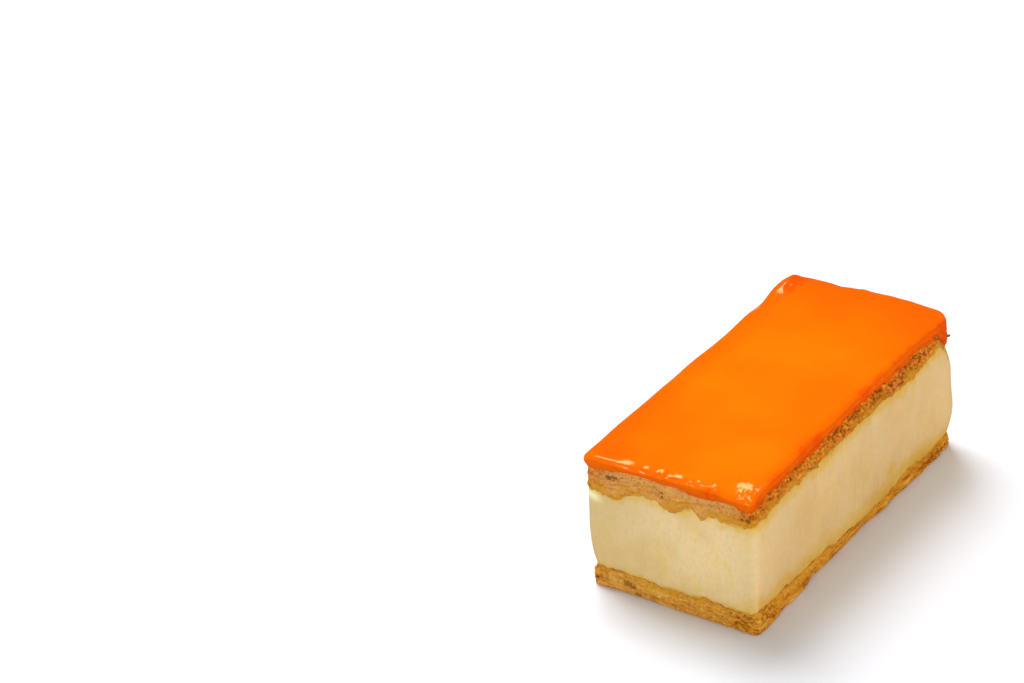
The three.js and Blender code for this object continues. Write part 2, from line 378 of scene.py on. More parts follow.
def swellings(at, height, table):
    """What a table of swellings adds up to at points with a height."""
    total = 0
    for x, y, width, up, tall, size in table:
        total = total + size * near(at, x, y, width) * hump(height - up, tall)
    return total


def smear(piece):
    """Streaks and dents of the knife on the sides of the custard, where pastry has stained it, and the shade
    and gleam painted on it.
    """
    side, at, low, high = side_of(piece, ON_BASE, ON_LID)
    from_base, from_lid = at[:, 2] - low, high - at[:, 2]
    points = places(piece)
    pattern = patterns(at, CUSTARD_PATTERNS, 0)
    relief = STREAK_DEPTH * pattern["streak"] + DENT_DEPTH * pattern["dent"]
    relief = relief - PIT_DEPTH * smooth_step(0.5, 0.7, pattern["pit"])
    belly = swellings(at, from_base, BELLY_OVER_BASE) + swellings(at, from_lid, BELLY_UNDER_LID)
    fade = smooth_step(0, RELIEF_FADE, np.minimum(from_base, from_lid))
    points[side] += outward(at) * ((relief + belly) * fade)[:, None]
    put(piece, points)

    right = to_right(at)
    ragged = pattern["ragged"] + 0.6 * pattern["fine"]
    from_foot = from_base - 0.6 * ragged
    at_lid = fading(0, 1.1, from_lid - 1.1 * ragged)
    # Below the lid the custard is stained, and painted darker as shade, more on the right
    stain_and_shade_under_lid = (0.45 + 0.2 * right) * fading(0.5, 4.4, from_lid - ragged)
    soaked_up = (0.3 + 0.2 * right) * fading(0, 4 + 5 * right, from_foot - 1.8 * pattern["wide"])
    x, width, reach, strength = LOW_PATCH
    low_patch = strength * right * hump(at[:, 0] - x, width)
    low_patch = low_patch * fading(0, reach, from_foot - 1.3 * pattern["wide"])
    x, width, up, tall, strength = SPOT
    spot = strength * right * hump(at[:, 0] - x, width) * hump(from_base - up, tall)
    x, y, width, reach, strength = LEFT_FOOT
    left_foot = strength * near(at, x, y, width) * fading(0, reach, from_base)
    stains_and_shade = [
        0.75 * np.maximum(at_lid, stain_and_shade_under_lid),
        0.7 * fading(0, 1.3, from_foot),
        soaked_up,
        low_patch,
        spot,
        left_foot,
    ]
    x, y, width, down, tall = GLEAM
    values = {
        "stain_and_shade": np.maximum.reduce(stains_and_shade),
        # Shade painted on the right side
        "warm": right,
        # Toward the left of the front the custard is yellower, and painted darker as shade
        "yolky": np.clip(to_front(at) + to_left(at), 0, 1) * smooth_step(-8, 24, at[:, 1]),
        # A gleam painted as a pale colour
        "wet": near(at, x, y, width) * hump(from_lid - down, tall),
    }
    keep_side_values(piece, side, values)


custard_block = layer("custard", "custard_block", 0)
shift_seams(custard_block, ON_BASE, BASE_SEAM, ON_LID, LID_SEAM)
round_corners(custard_block)
smear(custard_block)
custard_skin = skin_of(custard_block)


# Pastry sheets

# Where the lid's lower edge hangs over the custard in a lobe: x, y, width and depth
LID_LOBES = (
    (-53, 17.5, 3.2, 0.9),
    (-53, -0.5, 2.6, 0.75),
    (-52.4, -8.6, 1.6, 1.9),
    (-53, -22, 3.5, 0.1),
)
# Pits in the front of the lid, which are also painted dark as shade: y, z, width and depth
LID_PITS = (
    (19.1, 33.9, 0.9, 1.7),
    (17.2, 34.3, 0.7, 1.5),
    (-20.4, 34.2, 0.6, 1.0),
    (-22.2, 34.3, 0.7, 1.5),
)
# A speckled patch in the front of the lid: y, z, width, and how much lower than wide it is
LID_SPECKLES = (3.9, 33.3, 2.6, 1.8)
# Where the side of the lid bulges out or draws in: x, y, width and bulge
LID_BULGES = ((36, 25, 6, 1.0), (54, -26, 3, -0.4))
# Where the leaves of the base have come apart: x, y and width
BASE_CORNERS = ((-52, -23, 7), (48, -23, 11), (-53, 21, 3), (52, 23, 8))
# Pits in the front of the base, which are also painted dark as shade: y, z, width and depth
BASE_PITS = (
    (12.6, 3.3, 1.1, 1.5),
    (10.6, 2.9, 1.0, 1.4),
    (9.0, 1.0, 1.1, 1.3),
    (5.4, 5.5, 0.7, 0.9),
    (-15.8, 5.6, 0.6, 1.0),
    (-17.6, 5.8, 0.6, 1.0),
    (-21.4, 3.2, 0.9, 1.2),
    (-22.8, 4.6, 0.9, 1.1),
)
# Where the side of the base bulges out or draws in: x, y, width and bulge
BASE_BULGES = (
    (-48.5, -26, 4, 0.4),
    (-30, -26, 4, 0.5),
    (-21.5, -26, 3.5, -0.6),
    (13.5, -26, 4.5, 0.75),
    (-53, 25.5, 3.5, -0.6),
    (-53, 14.5, 3.5, -0.5),
    (-53, 8, 4, -0.45),
    (-53, 3, 4, -0.35),
)

# How many leaves a sheet has, how they rise and fall, and how far apart two are in a random pattern
LEAVES = 6
LEAF_WAVES = ((11, 0.8, 0), (3.2, 0.5, 9))
LEAF_APART = (0, 0, 50)

# The ragged edge over the custard: mean reach, waves of it, more at the lid's front, and most reach
EDGE_REACH = 0.1
EDGE_WAVES = ((4.2, 0.9, 0), (1.7, 0.7, 1), (0.9, 0.5, 3))
EDGE_FRONT = 0.35
EDGE_MOST, LOBE_MOST = 1.9, 3.2
# From where to where the raggedness fades away from the custard, and how near a point rests on it
EDGE_FADE = (0.2, 2.4)
EDGE_CLOSE = 2.2
EDGE_SEED = 80
# The custard's side is where it faces up or down by less than this
SIDE_FACING = 0.5

# Random patterns in the sides of the sheets: wave in millimetres along x, y and z, and step of the seed
BASE_PATTERNS = {
    "loose": (9, 0),
    "crumb": ((0.9, 0.9, 0.6), 50),
    "chip": ((1.3, 1.3, 0.7), 60),
    "waver": (5, 70),
    "tone": ((5, 5, 1.6), 91),
    "line": ((10, 10, 0.42), 92),
}
LID_PATTERNS = {
    "crumb": (0.7, 55),
    "fleck": ((0.9, 0.9, 0.5), 65),
    "upper": (4, 66),
    "speckle": (0.55, 67),
    "waver": (4.5, 70),
    "tone": (3.5, 90),
}
# The same for the ticks and holes of the lid, which lean by a share of their height
LEANING_PATTERNS = {
    "tick": ((0.75, 0.75, 2.2), 50),
    "small tick": ((0.5, 0.5, 1.2), 51),
    "hole": ((0.9, 0.9, 1.3), 60),
}
LEANING = (0.4, 0.4, 0)
# The part of the right side whose leaves are pressed: x and width
PRESSED = (8, 26)


def rest_on_custard(points, clearance):
    """Moves points that are in the custard's side out of it, to stand clear by some millimetres."""
    for i, point in enumerate(points):
        found, normal, _, _ = custard_skin.find_nearest(Vector(point * MM))
        depth = clearance[i] - (Vector(point * MM) - found).dot(normal) / MM
        if depth > 0 and abs(normal.z) < SIDE_FACING:
            points[i] += np.array(normal) * depth
    return points


def hang_over(points, gap_to_custard, lobes, sense, seed):
    """Pulls the edge at the custard over it by ragged lobes. sense is 1 for up and -1 for down."""
    reach = waves(points * [1, 1, 0], EDGE_WAVES, seed, EDGE_REACH)
    reach = reach + EDGE_FRONT * to_front(points) * (sense < 0)
    reach = np.clip(np.clip(reach, 0, EDGE_MOST) + total_near(points, lobes), 0, LOBE_MOST)
    reach = reach * fading(*EDGE_FADE, gap_to_custard)
    points[:, 2] += sense * reach
    close = gap_to_custard < EDGE_CLOSE
    bumps = np.clip(0.5 + 1.5 * drift(points[close], 0.8, seed + 2), 0, 1)
    clearance = 0.05 + 0.2 * reach[close] + 0.3 * bumps * np.sqrt(reach[close])
    points[close] = rest_on_custard(points[close], clearance)
    return points


def leaves_of(at, share, wave, seed):
    """Leaves of pastry: how far each piece of leaf stands out, and where the gaps between are."""
    flat = at * [1, 1, 0]
    rise = waves(flat, LEAF_WAVES, seed, share * LEAVES)
    ranked = flat + np.outer(np.floor(rise), LEAF_APART)
    stands_out = 0.9 * drift(ranked, wave, seed + 20) + 0.5 * drift(ranked, wave / 3, seed + 30)
    gap_rank = flat + np.outer(np.round(rise), LEAF_APART)
    gapes = smooth_step(0, 0.35, drift(gap_rank, 3.5, seed + 40))
    return stands_out, hump(np.abs(rise - np.round(rise)), 0.22) * gapes


def pits_in(at, table, seed):
    """How deep a side goes in at pits, each with a y, z, width and depth."""
    total = 0
    for y, z, width, depth in table:
        total = total + depth * hump(np.hypot(at[:, 1] - y, (at[:, 2] - z) * 1.4), width)
    return total * (1 + 0.8 * drift(at, 0.55, seed + 67)) * to_front(at)


def between(share, low, high):
    """1 in the middle of a side's height, and 0 at its borders."""
    return smooth_step(0, low, share) * fading(high, 1, share)


def shape_base(piece, seed):
    """Gives the side of the base its pressed leaves, which have come apart at the corners."""
    side, at, low, high = side_of(piece, FLOOR, ON_CUSTARD)
    share = share_between(at, low, high)
    points = places(piece)
    front, right = to_front(at), to_right(at)
    pattern = patterns(at, BASE_PATTERNS, seed)
    loose = 0.1 + 0.4 * np.clip(0.5 + 1.6 * pattern["loose"], 0, 1)
    for x, y, width in BASE_CORNERS:
        loose = loose + 0.8 * near(at, x, y, width)
    x, width = PRESSED
    pressed = right * hump(at[:, 0] - x, width)
    loose = np.clip(loose * (1 - 0.75 * pressed), 0.1, 1)
    stands_out, gap = leaves_of(at, share, 3.6, seed)
    chips = smooth_step(0.1, 0.5, pattern["chip"]) * loose
    pits = np.clip(pits_in(at, BASE_PITS, seed), 0, 1)

    broken = 0.6 * stands_out + 0.22 * pattern["crumb"] - 0.45 * chips
    push = 0.2 * pattern["waver"] + loose * broken + 0.1 * stands_out
    push = push - (0.15 + 0.45 * loose) * gap - 0.3 * pits
    swell = 0.25 + front * (0.25 + 0.35 * smooth_step(-5, 10, at[:, 1]))
    swell = swell + 0.9 * right * hump(at[:, 0] - 33, 17)
    swell = (swell + total_near(at, BASE_BULGES)) * (1 - 0.8 * smooth_step(0.6, 1, share))
    fade = between(share, 0.1, 0.95)
    points[side] += outward(at) * (push * fade + swell)[:, None]
    points[side] = hang_over(points[side], high - at[:, 2], (), 1, seed + EDGE_SEED)
    put(piece, points)

    tone = 0.62 + 0.3 * pattern["tone"] + 0.45 * stands_out
    tone = tone + 0.5 * pattern["crumb"] * loose + 0.6 * pattern["line"]
    # Shade painted into the gaps between leaves, the chips and the pits, which are also cut in
    painted_shade = [(0.15 + 0.55 * loose) * gap, 0.7 * chips, 0.8 * pits]
    values = {
        "crevice_shade": np.maximum.reduce(painted_shade) * fade,
        "share": share,
        "tone": tone - 0.3 * loose - 0.25 * pressed,
        # Painted light: the faces toward the front are mixed toward a paler, greyer tone
        "painted_front_light": 0.6 * front * (1 - loose),
    }
    keep_side_values(piece, side, values)


def shape_lid(piece, seed):
    """Gives the side of the lid its crumbs: standing ticks on the right, and flecks at the front."""
    side, at, low, high = side_of(piece, ON_CUSTARD, ON_ICING)
    share = share_between(at, low, high)
    points = places(piece)
    front = to_front(at)
    pattern = patterns(at, LID_PATTERNS, seed)
    leaning = patterns(at + np.outer(at[:, 2], LEANING), LEANING_PATTERNS, seed)
    open_side = np.clip(1 - 0.75 * front + 0.6 * near(at, -52, -24, 5), 0, 1)
    closed = 1 - open_side
    stands_out, gap = leaves_of(at, share, 2.6, seed)
    ticks = leaning["tick"] + 0.5 * leaning["small tick"]
    holes = smooth_step(0.3, 0.5, leaning["hole"]) * open_side
    flecks = smooth_step(0.36, 0.5, pattern["fleck"]) * closed
    y, z, width, flatness = LID_SPECKLES
    speckles = smooth_step(0.15, 0.4, pattern["speckle"])
    speckles = speckles * hump(np.hypot(at[:, 1] - y, (at[:, 2] - z) * flatness), width)
    pits = np.clip(pits_in(at, LID_PITS, seed) + speckles * front, 0, 1)
    crumbly = smooth_step(0.25, 0.45, share + 0.35 * pattern["upper"])

    push = 0.2 * pattern["waver"] + 0.12 * pattern["crumb"] - 0.35 * flecks * crumbly
    push = push + open_side * crumbly * (0.3 * ticks - 0.4 * holes)
    push = push + (0.25 + 0.2 * open_side) * (stands_out - gap) - 0.5 * pits
    fade = between(share, 0.1, 0.93)
    points[side] += outward(at) * (push * fade + total_near(at, LID_BULGES) * share)[:, None]
    points[side] = hang_over(points[side], at[:, 2] - low, LID_LOBES, -1, seed + EDGE_SEED)
    put(piece, points)

    tone = 0.5 + open_side * (0.8 * ticks + 0.4 * pattern["crumb"])
    tone = tone + closed * (0.5 * stands_out + 0.5 * pattern["crumb"])
    # Shade painted into the gaps, holes, flecks and pits, which are also cut in
    painted_shade = [0.6 * gap * open_side, holes * crumbly, 0.9 * flecks * crumbly, 1.2 * pits]
    values = {
        "crevice_shade": np.maximum.reduce(painted_shade) * fade,
        "share": share,
        "tone": tone + 0.4 * pattern["tone"],
        # Painted light: the faces toward the front are mixed toward a paler, greyer tone
        "painted_front_light": front * closed * 1.3,
    }
    keep_side_values(piece, side, values)


base_sheet = layer("base_pastry", "base_sheet", 1)
shift_seams(base_sheet, FLOOR, (), ON_CUSTARD, BASE_SEAM)
shape_base(base_sheet, 3.1)

lid_sheet = layer("lid_pastry", "lid_sheet", 1)
shift_seams(lid_sheet, ON_CUSTARD, LID_SEAM, ON_ICING, ())
shape_lid(lid_sheet, 8.3)


# Loose flakes of pastry that stick out of the edges of the sheets

FLAKE_CORNERS = 9
FLAKE_KINDS = 5
FLAKE_RADIUS = 1
FLAKE_THICKNESS = 0.32
# How far a flake's corners are pulled in or out, how narrow it is, and how much it curls at most
FLAKE_PULL = (0.55, 1.1)
FLAKE_WIDTH = 0.8
FLAKE_CURL = 0.35
# The radius of a flake, and its length, breadth and depth in the side as shares of that radius
FLAKE_SIZE = (0.18, 0.46)
FLAKE_LENGTH = (0.8, 1.6)
FLAKE_BREADTH = 0.9
FLAKE_DEPTH = (0.3, 0.8)
# Its share of the full thickness, and how brown to pale it is
FLAKE_FLATNESS = (0.4, 0.8)
FLAKE_TONE = (0.35, 1)
# How far a flake tilts lying and standing on edge, pitches and turns, in radians
LYING_TILT = 0.2
FIN_TILT = (0.9, 1.5)
FLAKE_PITCH = 0.3
FLAKE_TURN = (-0.6, 0.6)


def flake_kind(number):
    """One thin curled flake with a ragged outline, a millimetre in radius."""
    chance = random.Random(number)
    bpy.ops.mesh.primitive_cylinder_add(
        vertices=FLAKE_CORNERS,
        radius=FLAKE_RADIUS * MM,
        depth=FLAKE_THICKNESS * MM,
        end_fill_type="TRIFAN",
        location=(0, 0, 0),
    )
    kind = bpy.context.active_object
    points = places(kind)
    pulls = [chance.uniform(*FLAKE_PULL) for _ in range(FLAKE_CORNERS)]
    curl = chance.uniform(-FLAKE_CURL, FLAKE_CURL)
    for i, (x, y, z) in enumerate(points):
        turn = math.atan2(y, x) / (2 * math.pi) * FLAKE_CORNERS
        at_rim = math.hypot(x, y) > FLAKE_RADIUS / 2
        pull = pulls[round(turn) % FLAKE_CORNERS] if at_rim else 1
        points[i] = (x * pull, y * pull * FLAKE_WIDTH, z + curl * x * x)
    put(kind, points)
    bpy.ops.object.shade_smooth_by_angle(angle=math.radians(50))
    return kind


def values_of(piece, name):
    values = np.zeros(len(piece.data.vertices), np.float32)
    piece.data.attributes[name].data.foreach_get("value", values)
    return values


def set_flake(kind, place, out, stretch, turn, share, tone):
    """Puts a copy of a flake in a side, which faces out, at a place in millimetres."""
    upright = Matrix((Vector((-out.y, out.x, 0)), out, Vector((0, 0, 1)))).transposed().to_4x4()
    copy = kind.copy()
    copy.data = kind.data.copy()
    grow = Matrix.Diagonal((*stretch, 1))
    copy.data.transform(Matrix.Translation(place * MM) @ upright @ turn.to_matrix().to_4x4() @ grow)
    bpy.context.scene.collection.objects.link(copy)
    count = len(copy.data.vertices)
    for name, value in (("crevice_shade", 0), ("share", share), ("tone", tone), ("painted_front_light", 0)):
        keep_values(copy, name, np.full(count, value))
    return copy


def scatter_flakes(sheet, count, shares, seed, kinds, fins):
    """Sets copies of the flakes in the side of a sheet. fins says how many of them stand on edge."""
    chance = random.Random(seed)
    points = places(sheet)
    share = values_of(sheet, "share")
    lowest, highest = shares
    fit = np.flatnonzero((share > lowest) & (share < highest))
    faces_out = outward(points)
    placed = []
    for _ in range(count):
        spot = int(chance.choice(fit))
        out = Vector(faces_out[spot])
        tilt = chance.gauss(0, LYING_TILT)
        if chance.random() < fins(faces_out[spot]):
            tilt = chance.choice((-1, 1)) * chance.uniform(*FIN_TILT)
        turn = Euler((chance.gauss(0, FLAKE_PITCH), tilt, chance.uniform(*FLAKE_TURN)), "ZXY")
        size = chance.uniform(*FLAKE_SIZE)
        length = size * chance.uniform(*FLAKE_LENGTH)
        stretch = (length, size * FLAKE_BREADTH, chance.uniform(*FLAKE_FLATNESS))
        place = Vector(points[spot]) - out * chance.uniform(*FLAKE_DEPTH) * size
        tone = chance.uniform(*FLAKE_TONE)
        placed.append(set_flake(chance.choice(kinds), place, out, stretch, turn, share[spot], tone))
    return placed


def join_flakes(name, flakes):
    only(*flakes)
    bpy.ops.object.join()
    joined = bpy.context.active_object
    joined.name = name
    return joined


# How many flakes each sheet has, and between which shares of its side's height
BASE_FLAKES, BASE_FLAKE_SHARES = 300, (0.12, 0.97)
LID_FLAKES, LID_FLAKE_SHARES = 480, (0.25, 0.68)
# How many of them stand on edge: everywhere, and more on the right side of the lid
FINS, FINS_ON_RIGHT = 0.15, 0.6
# The one large flake that sticks out under the icing at the back right corner
CORNER_FLAKE = {
    "place": Vector((52.0, -24.0, 33.5)),
    "out": Vector((0.9, -0.44, 0)).normalized(),
    "stretch": (0.5, 1.4, 1.3),
    "turn": Euler((0, 0.4, 0)),
    "share": 0.6,
    "tone": -0.6,
}

kinds = [flake_kind(number) for number in range(FLAKE_KINDS)]
on_base = scatter_flakes(base_sheet, BASE_FLAKES, BASE_FLAKE_SHARES, 21, kinds, lambda out: FINS)
base_flakes = join_flakes("base_flakes", on_base)
on_lid = scatter_flakes(
    lid_sheet, LID_FLAKES, LID_FLAKE_SHARES, 22, kinds, lambda out: FINS + FINS_ON_RIGHT * max(0, -out[1])
)
on_lid.append(set_flake(kinds[2], **CORNER_FLAKE))
lid_flakes = join_flakes("lid_flakes", on_lid)
for kind in kinds:
    bpy.data.objects.remove(kind)


# Icing


def reach_past(skin, points, beside):
    """How far a layer's side stands out past points, there and a little to both sides, in millimetres."""
    out = outward(points)
    along = np.cross(out, [0, 0, 1])
    reach = np.full(len(points), -float(LOOK_FROM))
    for step in (-beside, 0, beside):
        for i, start in enumerate(points + out * LOOK_FROM + along * step):
            found = skin.ray_cast(Vector(start * MM), Vector(-out[i]), 2 * LOOK_FROM * MM)
            if found[0] is not None:
                reach[i] = max(reach[i], LOOK_FROM - found[3] / MM)
    return reach


# Where the lower edge of the icing hangs lower, or ends higher: x, y, width and depth
DRIPS = (
    (-50, -26, 2.5, 0.5),
    (-38, -26, 3, 1.0),
    (-24, -26, 4, 1.0),
    (-18, -26, 3.5, 1.2),
    (-12.5, -26, 3, 0.8),
    (-5.5, -26, 3, 0.5),
    (3.5, -26, 3, 0.4),
    (9.5, -26, 3, 1.3),
    (15.5, -26, 3.5, 1.2),
    (24, -26, 4, 0.9),
    (29, -26, 3, 0.7),
    (38, -26, 3, 0.5),
    (47.2, -25.4, 2.0, 7.0),
    (49.6, -24.6, 1.6, 3),
    (-54, 10.3, 5, -0.8),
    (-54, 16, 4, -0.4),
    (-54, -8, 3, 0.9),
    (-54, -12, 3, 1.0),
    (-54, -16.5, 1.8, -0.5),
    (-54, -22, 2.5, 1.0),
)
# Where the icing's surface rises or dips near its rim: x, y, width and rise
FOLDS = (
    (41, 24, 6, 0.6),
    (-49.7, -16.2, 3.5, -0.45),
    (-50.4, -6.5, 1.2, 0.32),
    (52, 19.3, 1.3, -1.1),
    (52, 8, 3, -0.45),
    (52, 1.5, 1.2, 0.25),
    (47.5, 25.5, 2.4, -1.0),
    (53.5, 21, 2.2, -1.2),
    (52.5, 24.5, 1.5, 0.8),
    (54, -26, 3, -0.5),
)
# How the icing's outline bulges out or draws in: x, y, width and bulge
BULGES = ((41, 25, 5, 1.0), (28, 25, 9, 0.6), (47.5, 25.5, 2.4, -0.5), (54, -26, 3, -0.15))
# Where the icing is thick and red, and also painted darker as shade: x, y, width and share
RED_SPOTS = (
    (48, 21.2, 2.4, 0.8),
    (42.5, 19.8, 2.4, 0.7),
    (49, 18, 2.4, 0.7),
    (45.6, 19.2, 2, 0.3),
    (49, -20, 4, 0.5),
    (47.6, -25.2, 2.2, 0.7),
    (-48, 21, 7, 0.35),
)
# A red crease in the front: x, y, width along x and y, depth and redness
CREASE = (-52.5, -10.6, 2, 0.9, 0.35, 0.9)
# Where the front shoulder of the icing is rounder: y, width and drop
SHOULDERS = (
    (22.6, 2.2, -0.3),
    (12.7, 4.0, 0.46),
    (7.6, 1.7, 0.32),
    (3.8, 1.2, 0.36),
    (-1.3, 2.1, 0.4),
    (-6.2, 1.2, 0.32),
)
# The part of that shoulder that is as broad as elsewhere: y and width
BROAD_SHOULDER = (12.7, 4)
# How far the front right corner sinks: x, y, width and drop
SUNK_CORNER = ((-53.5, -25.5, 6, 1.0),)

# Random patterns in the icing: wave in millimetres, and seed
ICING_PATTERNS = {
    "roll": (9, 31),
    "bead": (3.2, 33),
    "speck": (1.1, 34),
    "back wave": (4, 35),
    "red": (6, 43),
    "wobble": (7, 5.1),
}
# Where the rim is finely specked: x, y, width and strength
SPECKED = ((-49.4, -20.4, 3.4, 1), (-50.5, -6.4, 1.5, 1))
# A groove inside the left rim near the back: x, width, distance inward, its width, and depth
GROOVE = (44, 6, 4, 0.9, 0.4)

# The ragged lower edge: mean and most drip, and waves of it
DRIP_MEAN, DRIP_MOST = 0.2, 1.4
DRIP_WAVES = ((3.4, 0.9, 36), (1.5, 0.8, 37))
SKIRT_HEIGHT = 1.8
# How high the rim is kept clear of the pastry, which is looked for from so far out and beside
LOW_PART = 2.4
LOOK_FROM = 6
LOOK_BESIDE = 0.5
# Points with the pastry further behind them than this stay where they are
COVERED_LEAST = -1

# The wavy inner edge of the red rim
RED_WAVES = ((4, 0.8, 41), (1.6, 0.4, 42))


def pour(piece):
    """Rolls the icing over its edge, ripples it, and finds where it is thick and red."""
    points = places(piece)
    outer = np.flatnonzero(vertices_of_seat(piece, SIDE))
    at = points[outer]
    inward, edge_height = nearest_border(piece, at, ON_LID)
    front, right, left = to_front(at), to_right(at), to_left(at)
    above_edge = at[:, 2] - edge_height
    pattern = patterns(at, ICING_PATTERNS, 0)
    round_front = 0.06 + sum(drop * hump(at[:, 1] - y, width) for y, width, drop in SHOULDERS)
    roll = round_front * front + 0.3 * right + 0.2 * left
    y, width = BROAD_SHOULDER
    broader = 0.9 * hump(at[:, 1] - y, width)
    roll_width = 2.4 + front * (broader - 0.9) + 0.3 * pattern["roll"] * (1 - front)
    sink = roll * np.exp(-inward / roll_width)
    x, y, width_x, width_y, crease_depth, crease_red = CREASE
    crease = hump(at[:, 1] - y, width_y) * hump(at[:, 0] - x, width_x)
    beads = 0.05 * pattern["bead"] * hump(inward - 1.5, 2.5)
    specks = 0.1 * pattern["speck"] * total_near(at, SPECKED)
    x, width, groove_at, groove_width, groove_depth = GROOVE
    groove = groove_depth * hump(at[:, 0] - x, width) * hump(inward - groove_at, groove_width) * left
    folds = total_near(at, FOLDS) - groove
    back_waves = 0.25 * pattern["back wave"] * hump(at[:, 0] - 53, 3)
    lift = 0.1 * pattern["wobble"] + beads + specks + folds + back_waves
    lift = lift - sink - total_near(at, SUNK_CORNER) - crease_depth * crease
    upper = smooth_step(0.2, 1.6, above_edge)
    points[outer, 2] += upper * lift
    lip = 0.3 * front * upper * hump(inward - 0.8, 0.8)
    points[outer] += outward(at) * lip[:, None]

    # The lower edge runs down over the pastry in ragged drips.
    runs = total_near(at, DRIPS)
    drips = np.clip(waves(at * [1, 1, 0], DRIP_WAVES, 0, DRIP_MEAN), 0, DRIP_MOST)
    skirt = fading(0, SKIRT_HEIGHT, above_edge)
    points[outer, 2] -= skirt * (drips * (0.4 + 0.6 * right) + 0.5 * right + runs)
    bulge = skirt * 0.15 + total_near(at, BULGES) * hump(inward, 3)
    points[outer] += outward(at) * bulge[:, None]
    is_low = above_edge < LOW_PART
    low = outer[is_low]
    covered = reach_past(lid_skin, points[low], LOOK_BESIDE)
    clear = np.clip(covered + 0.1 + 0.3 * skirt[is_low], 0, 2)
    points[low] += outward(points[low]) * (clear * (covered > COVERED_LEAST))[:, None]
    put(piece, points)

    from_rim = waves(at, RED_WAVES, 0, inward)
    strong = np.clip(0.5 + 0.3 * runs + 0.6 * pattern["red"], 0, 1)
    right_reach = 0.8 + 0.8 * strong
    redness = [
        0.85 * right * strong * fading(0.1, right_reach, from_rim),
        0.4 * front * fading(0.3, 2.0, from_rim),
        0.3 * left * fading(0.5, 9, from_rim),
        0.22 * fading(0.4, 3.2, from_rim),
        total_near(at, RED_SPOTS),
        0.42 * smooth_step(12, 52, at[:, 0] - 0.3 * at[:, 1]),
        crease_red * crease,
    ]
    shade = [
        front * fading(0.2, 2.6, above_edge),
        0.95 * near(at, 47.6, -25.2, 2.6) * skirt,
        0.5 * total_near(at, RED_SPOTS),
    ]
    values = {"redness": np.maximum.reduce(redness), "shade": np.maximum.reduce(shade)}
    keep_side_values(piece, outer, values)


# How far in from its lower edge the icing is divided once more
FINE_RIM = 5

icing_coat = layer("icing", "icing_coat", 0)
lid_skin = skin_of(lid_sheet)
centres = np.array([face.center / MM for face in icing_coat.data.polygons])
near_rim = nearest_border(icing_coat, centres, ON_LID)[0] < FINE_RIM
divide(icing_coat, near_rim & (seats_of(icing_coat) == SIDE), 1)
pour(icing_coat)


# Materials


def paint(red, green, blue):
    """A colour as a picture shows it, in the linear values that shaders use."""
    linear = []
    for value in (red, green, blue):
        share = value / 255
        linear.append(share / 12.92 if share <= 0.04045 else ((share + 0.055) / 1.055) ** 2.4)
    return (*linear, 1)


class Wiring:
    """Adds nodes to a tree and joins them."""

    def __init__(self, tree):
        self.tree = tree

    def node(self, kind, inputs=None, **settings):
        made = self.tree.nodes.new(kind)
        for name, value in settings.items():
            setattr(made, name, value)
        for name, value in (inputs or {}).items():
            self.feed(made.inputs[name], value)
        return made

    def feed(self, socket, value):
        if isinstance(value, bpy.types.NodeSocket):
            self.tree.links.new(value, socket)
        else:
            socket.default_value = value

    def mix(self, share, first, second):
        made = self.node("ShaderNodeMix", data_type="RGBA")
        # The sockets for colours come after those for numbers and vectors.
        self.feed(made.inputs[0], share)
        self.feed(made.inputs[6], first)
        self.feed(made.inputs[7], second)
        return made.outputs[2]

    def maths(self, operation, first, second):
        made = self.node("ShaderNodeMath", operation=operation)
        self.feed(made.inputs[0], first)
        self.feed(made.inputs[1], second)
        return made.outputs[0]

    def ramp(self, value, low, high, from_low=0.0, from_high=1.0):
        made = self.node("ShaderNodeMapRange", interpolation_type="SMOOTHSTEP")
        for socket, given in zip(made.inputs, (value, low, high, from_low, from_high)):
            self.feed(socket, given)
        return made.outputs[0]

    def blend(self, share, first, second):
        made = self.node("ShaderNodeMixShader")
        for socket, given in zip(made.inputs, (share, first, second)):
            self.feed(socket, given)
        return made.outputs[0]

    def attribute(self, name):
        return self.node("ShaderNodeAttribute", attribute_name=name).outputs["Fac"]

    def blotches(self, scale, amount=1.0, low=0.35, high=0.65, squash=(1, 1, 1), seed=0.0):
        group = self.node("ShaderNodeGroup", node_tree=blotch_group)
        coords = self.node("ShaderNodeTexCoord").outputs["Object"]
        mapping = self.node(
            "ShaderNodeMapping", {"Vector": coords, "Scale": squash, "Location": (seed, seed, seed)}
        )
        self.feed(group.inputs["Vector"], mapping.outputs[0])
        for name, value in (("Scale", scale), ("Amount", amount), ("Low", low), ("High", high)):
            group.inputs[name].default_value = value
        return group.outputs["Mask"]


def make_blotch_group():
    """Soft random patches: a mask from 0 to 1, from a noise cut off between Low and High."""
    tree = bpy.data.node_groups.new("blotches", "ShaderNodeTree")
    tree.interface.new_socket("Vector", in_out="INPUT", socket_type="NodeSocketVector")
    for name, value in (("Scale", 100), ("Amount", 1), ("Low", 0.35), ("High", 0.65)):
        socket = tree.interface.new_socket(name, in_out="INPUT", socket_type="NodeSocketFloat")
        socket.default_value = value
    tree.interface.new_socket("Mask", in_out="OUTPUT", socket_type="NodeSocketFloat")
    wiring = Wiring(tree)
    given = wiring.node("NodeGroupInput").outputs
    cloud_inputs = {"Vector": given["Vector"], "Scale": given["Scale"], "Detail": 3}
    cloud = wiring.node("ShaderNodeTexNoise", cloud_inputs)
    mask = wiring.ramp(cloud.outputs["Fac"], given["Low"], given["High"])
    scaled = wiring.maths("MULTIPLY", mask, given["Amount"])
    wiring.node("NodeGroupOutput", {"Mask": scaled})
    return tree


blotch_group = make_blotch_group()

# Colours of the pastry
# Painted light: the paler, greyer tone of the faces toward the front
PAINTED_FRONT_LIGHT = paint(226, 170, 92)
SPECKLE = paint(156, 88, 10)
